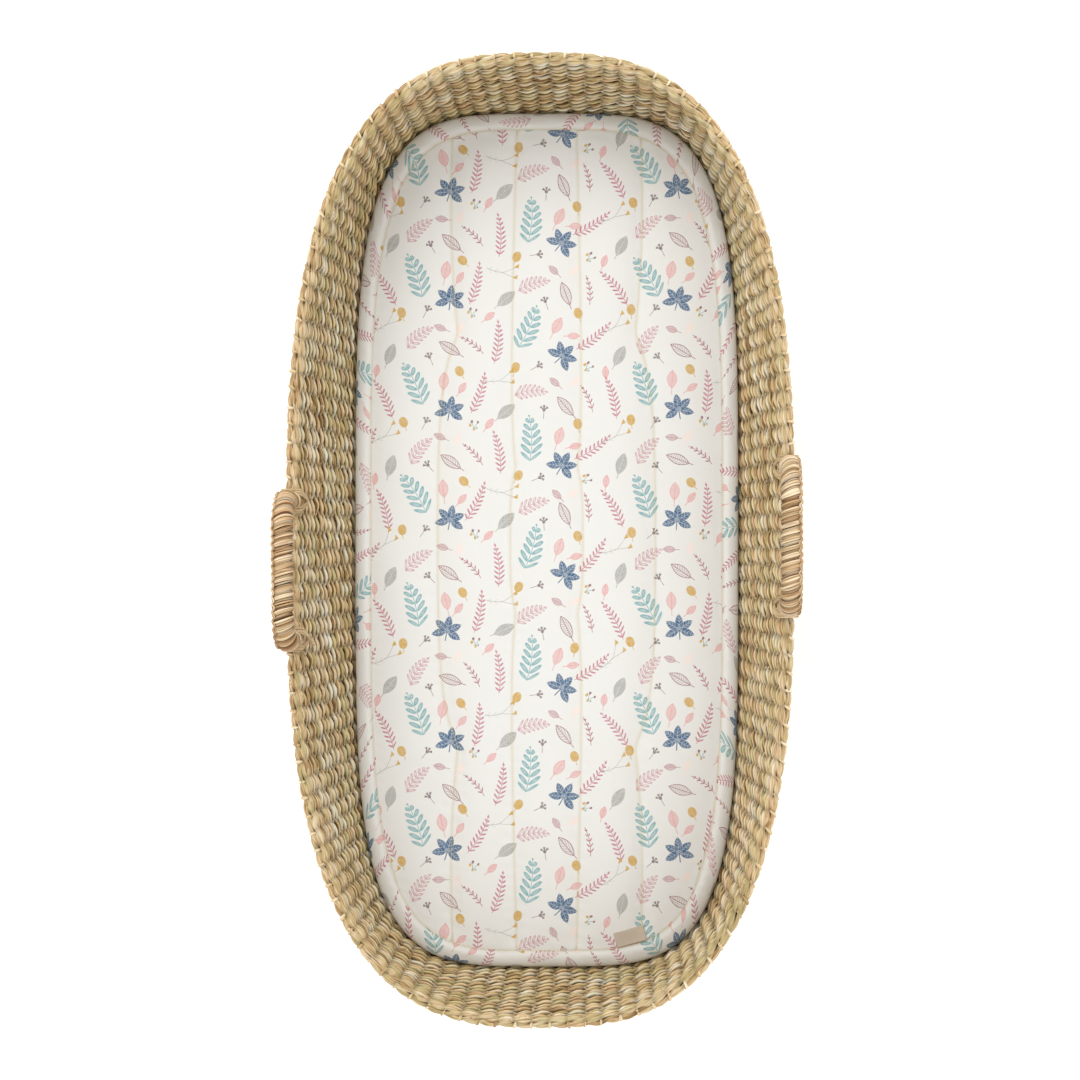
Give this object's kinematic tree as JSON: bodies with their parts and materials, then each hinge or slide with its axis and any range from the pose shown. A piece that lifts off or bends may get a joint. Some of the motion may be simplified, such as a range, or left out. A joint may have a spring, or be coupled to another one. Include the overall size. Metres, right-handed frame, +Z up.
{
  "type": "moses basket",
  "caption": "Oval hand-woven seagrass baby basket with low flared sides, short cord-wrapped arch handles on the rim and a boxed, quilted, zip-covered mattress.",
  "frame": {"origin": "centre of the base's underside, on the floor", "axes": "+Z up, +Y along the basket towards the head end, +X across it to the right when seen from above with the head end at the top"},
  "size_m": [0.4465, 0.8392, 0.229],
  "materials": {
    "seagrass": "matte",
    "seagrass_inside": "matte",
    "reed": "matte",
    "rattan": "satin",
    "border_straw": "matte",
    "handle_rope": "matte",
    "handle_cord": "matte",
    "foam": "matte",
    "cover_lining": "matte",
    "printed_cotton": "matte",
    "label_tape": "matte",
    "zip_tape": "matte",
    "zip_metal": "satin"
  },
  "bodies": {
    "basket": {"base_weave_lower": "seagrass", "base_weave_upper": "seagrass_inside", "wall_weave_outer": "seagrass", "wall_weave_inner": "seagrass_inside", "cross_stake_01": "reed", "cross_stake_02": "reed", "cross_stake_03": "reed", "cross_stake_04": "reed", "cross_stake_05": "reed", "cross_stake_06": "reed", "cross_stake_07": "reed", "cross_stake_08": "reed", "cross_stake_09": "reed", "cross_stake_10": "reed", "cross_stake_11": "reed", "cross_stake_12": "reed", "cross_stake_13": "reed", "long_stake_01": "reed", "long_stake_02": "reed", "long_stake_03": "reed", "long_stake_04": "reed", "long_stake_05": "reed", "rim_hoop": "rattan", "rim_border": "border_straw", "handle_left_lashing_foot": "handle_cord", "handle_left_lashing_head": "handle_cord", "handle_right_lashing_foot": "handle_cord", "handle_right_lashing_head": "handle_cord"},
    "handle_left": {"handle_left_core": "handle_rope", "handle_left_winding": "handle_cord"},
    "handle_right": {"handle_right_core": "handle_rope", "handle_right_winding": "handle_cord"},
    "mattress": {"foam_core": "foam", "cover_base": "cover_lining", "cover_side": "printed_cotton", "cover_quilt": "printed_cotton", "cover_label": "label_tape", "zip_tape": "zip_tape", "zip_coil": "zip_tape"},
    "zip_slider": {"zip_slider": "zip_metal"}
  },
  "joints": [
    {"name": "mattress_lift", "type": "slide", "parent": "basket", "child": "mattress", "axis": [0, 0, 1], "range_m": [0, 0.26]},
    {"name": "handle_left_swing", "type": "hinge", "parent": "basket", "child": "handle_left", "pos_m": [-0.2128, -0.026, 0.1789], "axis": [0.0079, -1, 0], "range_deg": [-25, 40]},
    {"name": "handle_right_swing", "type": "hinge", "parent": "basket", "child": "handle_right", "pos_m": [0.21297, 0.003, 0.1789], "axis": [-0.0009, 1, 0], "range_deg": [-25, 40]},
    {"name": "zip_slide", "type": "slide", "parent": "mattress", "child": "zip_slider", "axis": [0, 1, 0], "range_m": [0, 0.27]}
  ]
}
